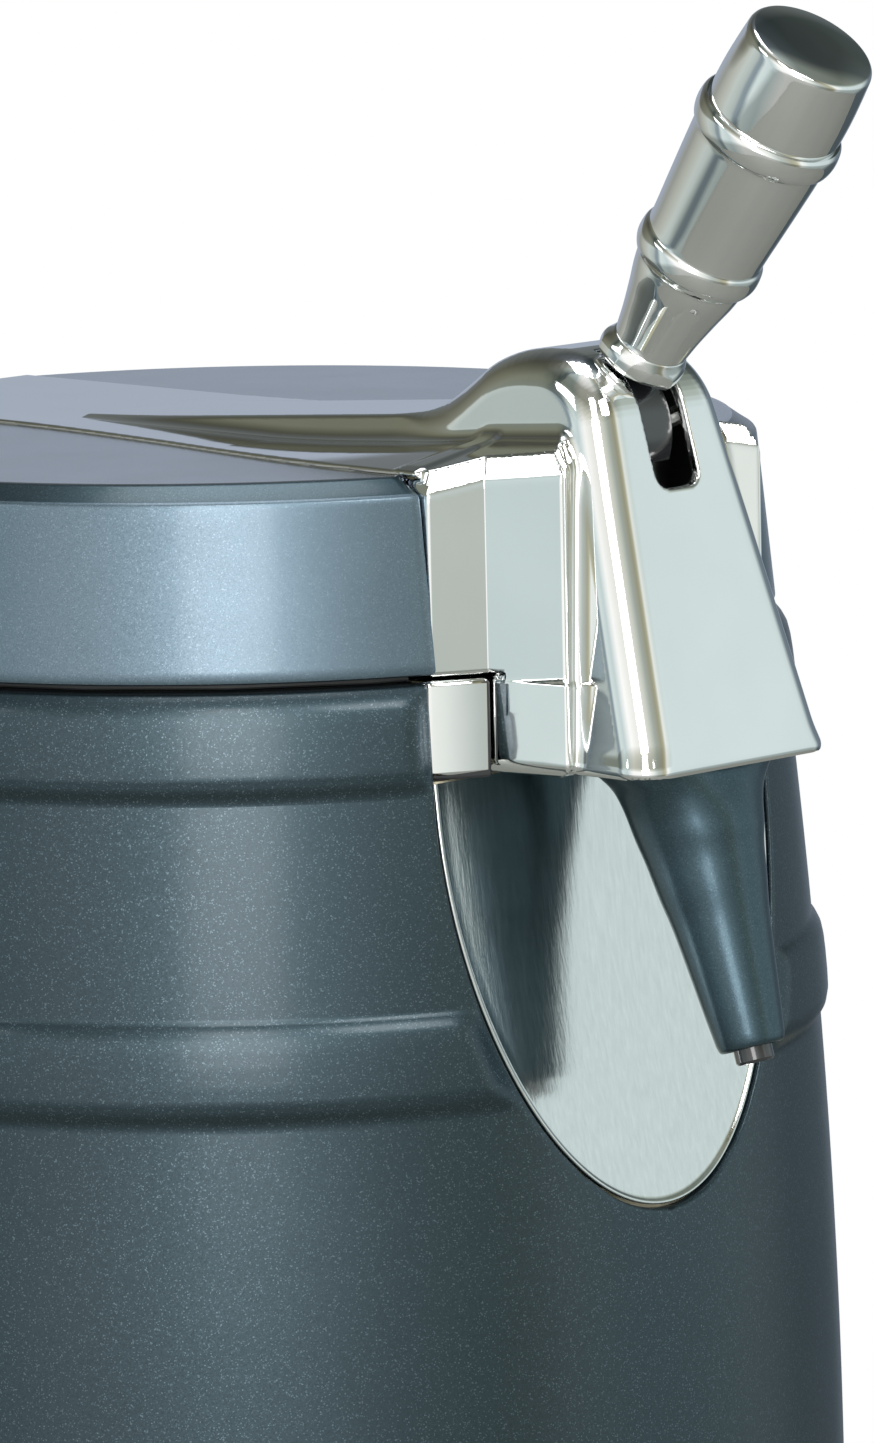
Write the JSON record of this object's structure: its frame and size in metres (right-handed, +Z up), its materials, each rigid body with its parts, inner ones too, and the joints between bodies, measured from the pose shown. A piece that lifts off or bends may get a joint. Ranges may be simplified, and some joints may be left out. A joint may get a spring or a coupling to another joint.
{
  "type": "mini keg beer dispenser",
  "caption": "Barrel-shaped countertop cooler for a mini keg, with a hinged lid, chrome tap tower and lever, conical spout, arched splash plate and drip tray.",
  "frame": {"origin": "centre of the whole part's footprint, at the level that its feet and tray stand on", "axes": "+Z up along the barrel's axis, -Y out of the front where the tap is, +X to the right seen from the front"},
  "size_m": [0.2598, 0.3368, 0.5572],
  "materials": {
    "barrel_paint": "gloss",
    "band_paint": "gloss",
    "chrome": "polished",
    "brushed_steel": "satin",
    "aluminium": "satin",
    "black_plastic": "satin",
    "grey_plastic": "satin",
    "rubber": "matte",
    "foam": "matte",
    "circuit_board": "satin",
    "white_ceramic": "matte",
    "smoked_window": "gloss",
    "silicone": "satin"
  },
  "bodies": {
    "cabinet": {"base_pan": "black_plastic", "foot_1": "rubber", "foot_2": "rubber", "foot_3": "rubber", "foot_4": "rubber", "barrel_shell": "barrel_paint", "splash_plate": "brushed_steel", "tap_bay_bridge": "chrome", "inner_tub": "aluminium", "tub_collar": "grey_plastic", "insulation_jacket": "foam", "keg_rest": "rubber", "cold_block": "aluminium", "peltier_module": "white_ceramic", "heat_sink": "aluminium", "fan_frame": "black_plastic", "power_supply": "aluminium", "control_fascia": "black_plastic", "display_window": "smoked_window", "control_board": "circuit_board", "rear_vent_cover": "black_plastic", "cover_screw_1": "brushed_steel", "cover_screw_2": "brushed_steel", "cover_screw_3": "brushed_steel", "cover_screw_4": "brushed_steel", "power_inlet": "black_plastic", "hinge_bracket": "black_plastic", "hinge_pin": "brushed_steel"},
    "lid": {"lid_shell": "band_paint", "lid_liner": "grey_plastic", "lid_insulation": "foam", "lid_gasket": "rubber", "hinge_leaf": "black_plastic", "tower_housing": "chrome", "lever_pin": "brushed_steel", "valve_body": "grey_plastic", "spout": "barrel_paint", "spout_nozzle": "black_plastic", "keg_coupler": "grey_plastic", "beer_tube": "silicone"},
    "lever": {"lever_arm": "black_plastic", "handle_collar": "chrome", "tap_handle": "chrome", "handle_cap": "chrome"},
    "plunger": {"valve_plunger": "brushed_steel"},
    "fan": {"fan_rotor": "grey_plastic"},
    "tray": {"drip_tray": "black_plastic"},
    "grille": {"drip_grille": "brushed_steel"},
    "power_key": {"power_button": "grey_plastic"},
    "warmer_key": {"warmer_button": "grey_plastic"},
    "colder_key": {"colder_button": "grey_plastic"}
  },
  "joints": [
    {"name": "lid_hinge", "type": "hinge", "parent": "cabinet", "child": "lid", "pos_m": [0, 0.16395, 0.4195], "axis": [-1, 0, 0], "range_deg": [0, 90]},
    {"name": "lever_pivot", "type": "hinge", "parent": "lid", "child": "lever", "pos_m": [0, -0.07305, 0.4668], "axis": [1, 0, 0], "range_deg": [0, 35]},
    {"name": "plunger_slide", "type": "slide", "parent": "lid", "child": "plunger", "axis": [0, -0.2995, -0.9541], "range_m": [0, 0.00355]},
    {"name": "fan_spin", "type": "hinge", "parent": "cabinet", "child": "fan", "pos_m": [0, 0.03855, 0.053], "axis": [0, 0, 1], "continuous": true},
    {"name": "tray_slide", "type": "slide", "parent": "cabinet", "child": "tray", "axis": [0, -1, 0], "range_m": [0, 0.12]},
    {"name": "grille_lift", "type": "slide", "parent": "tray", "child": "grille", "axis": [0, 0, 1], "range_m": [0, 0.03]},
    {"name": "power_button_press", "type": "slide", "parent": "cabinet", "child": "power_key", "axis": [0, 1, 0], "range_m": [0, 0.001], "stiffness_N_per_m": 1200},
    {"name": "warmer_button_press", "type": "slide", "parent": "cabinet", "child": "warmer_key", "axis": [0, 1, 0], "range_m": [0, 0.001], "stiffness_N_per_m": 1200},
    {"name": "colder_button_press", "type": "slide", "parent": "cabinet", "child": "colder_key", "axis": [0, 1, 0], "range_m": [0, 0.001], "stiffness_N_per_m": 1200}
  ],
  "couplings": [
    {"joint": "plunger_slide", "follows": "lever_pivot", "m_per_rad": 0.00572}
  ]
}
